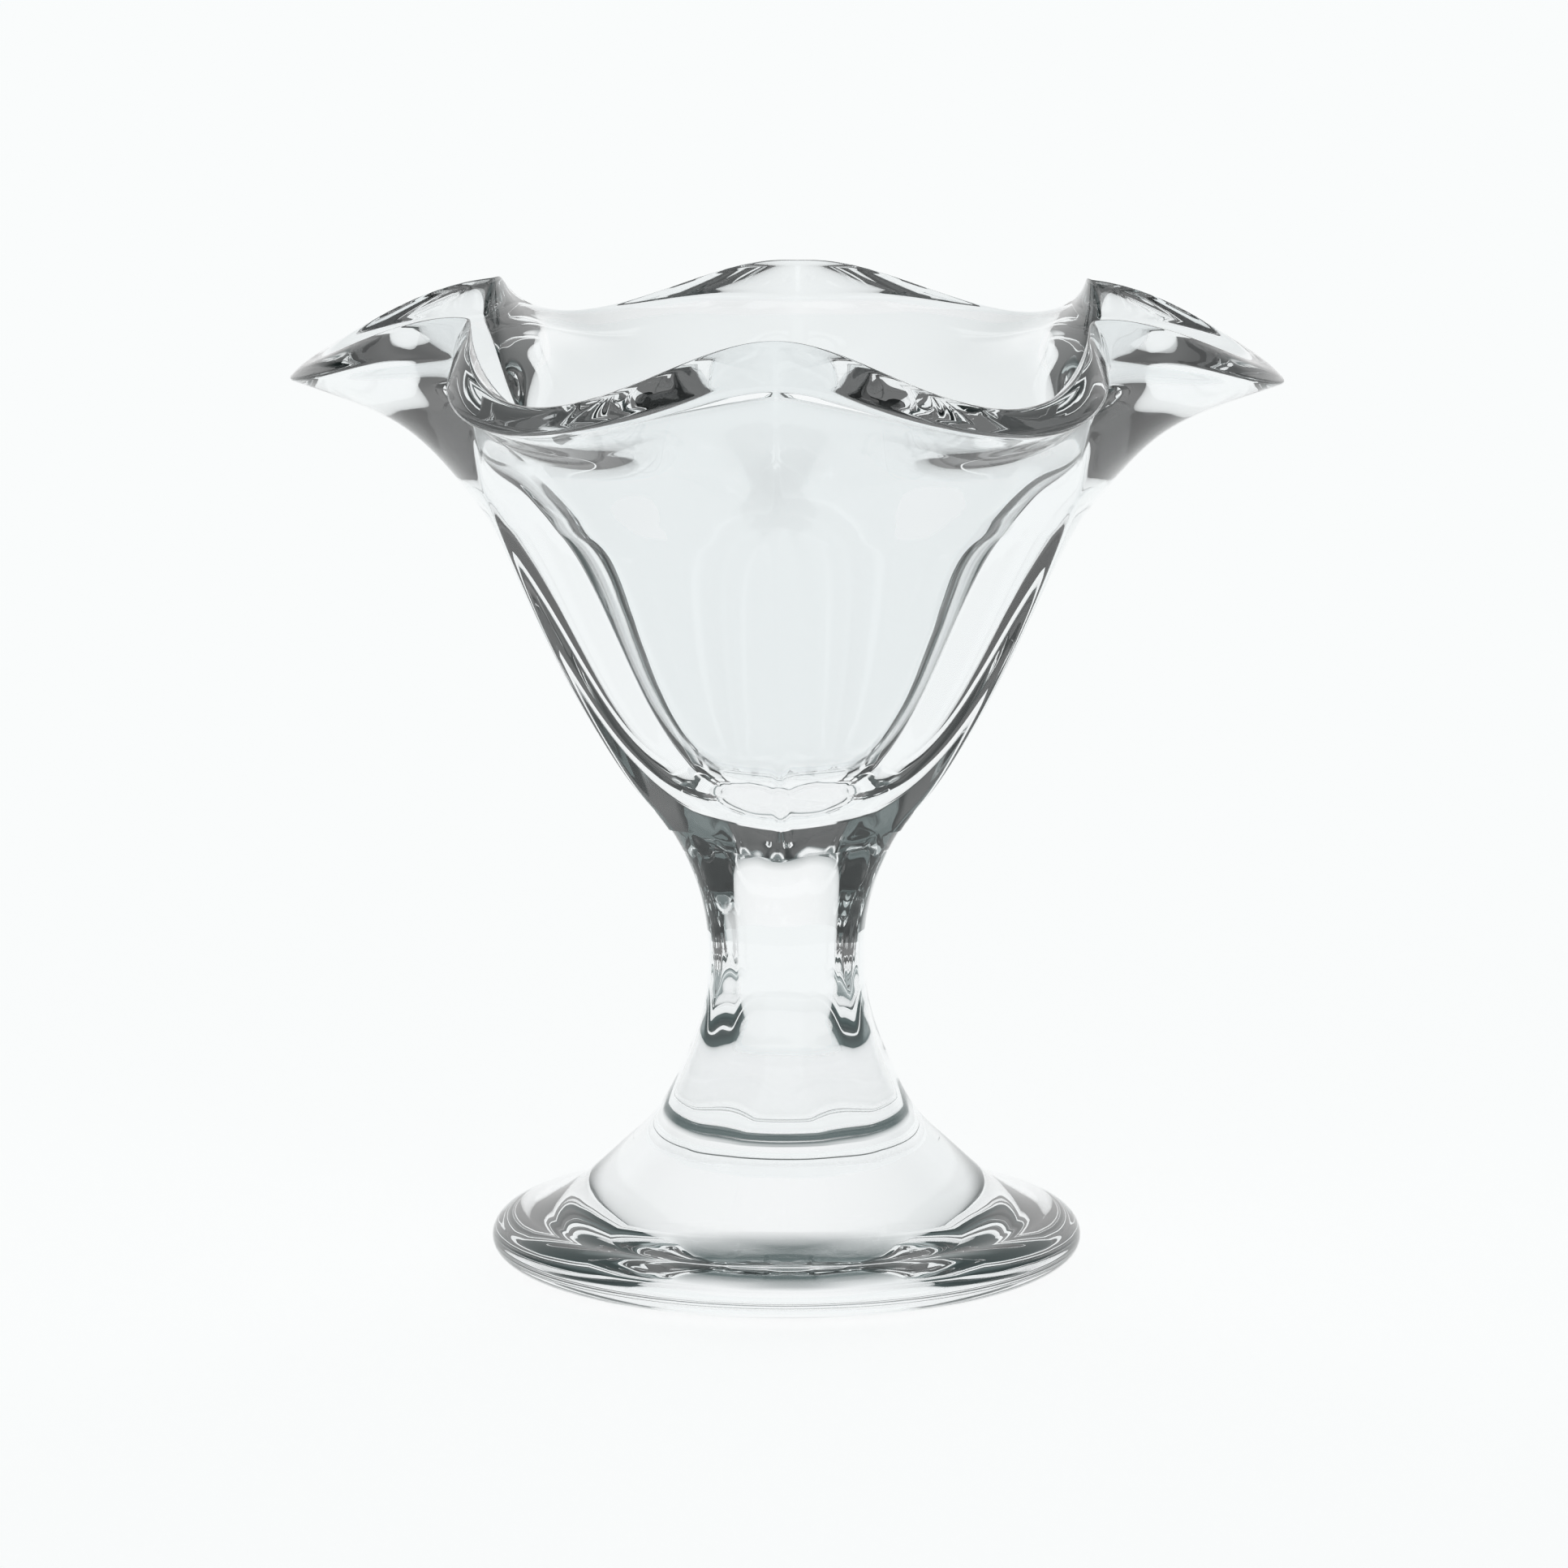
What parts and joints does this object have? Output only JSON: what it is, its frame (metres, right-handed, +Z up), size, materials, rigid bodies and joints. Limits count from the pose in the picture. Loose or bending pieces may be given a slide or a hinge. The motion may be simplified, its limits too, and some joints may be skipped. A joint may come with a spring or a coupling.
{
  "type": "footed dessert glass",
  "caption": "Clear pressed-glass dessert glass: panelled bowl with a wavy petal rim on a short waisted stem with flats and a round foot, for ice cream, parfait or fruit.",
  "frame": {"origin": "on the table under the glass's axis, at the middle of the foot's rest ring", "axes": "+Z is up along the axis of the stem; +X points at a petal tip of the rim; -Y is the front, where the rim has a high point between two petals"},
  "size_m": [0.125, 0.1128, 0.1234],
  "materials": {
    "bowl_glass": "clear fire-polished pressed glass",
    "stem_glass": "clear fire-polished pressed glass",
    "foot_glass": "clear fire-polished pressed glass"
  },
  "bodies": {
    "root": {"bowl": "bowl_glass", "stem": "stem_glass", "foot": "foot_glass"}
  },
  "joints": []
}
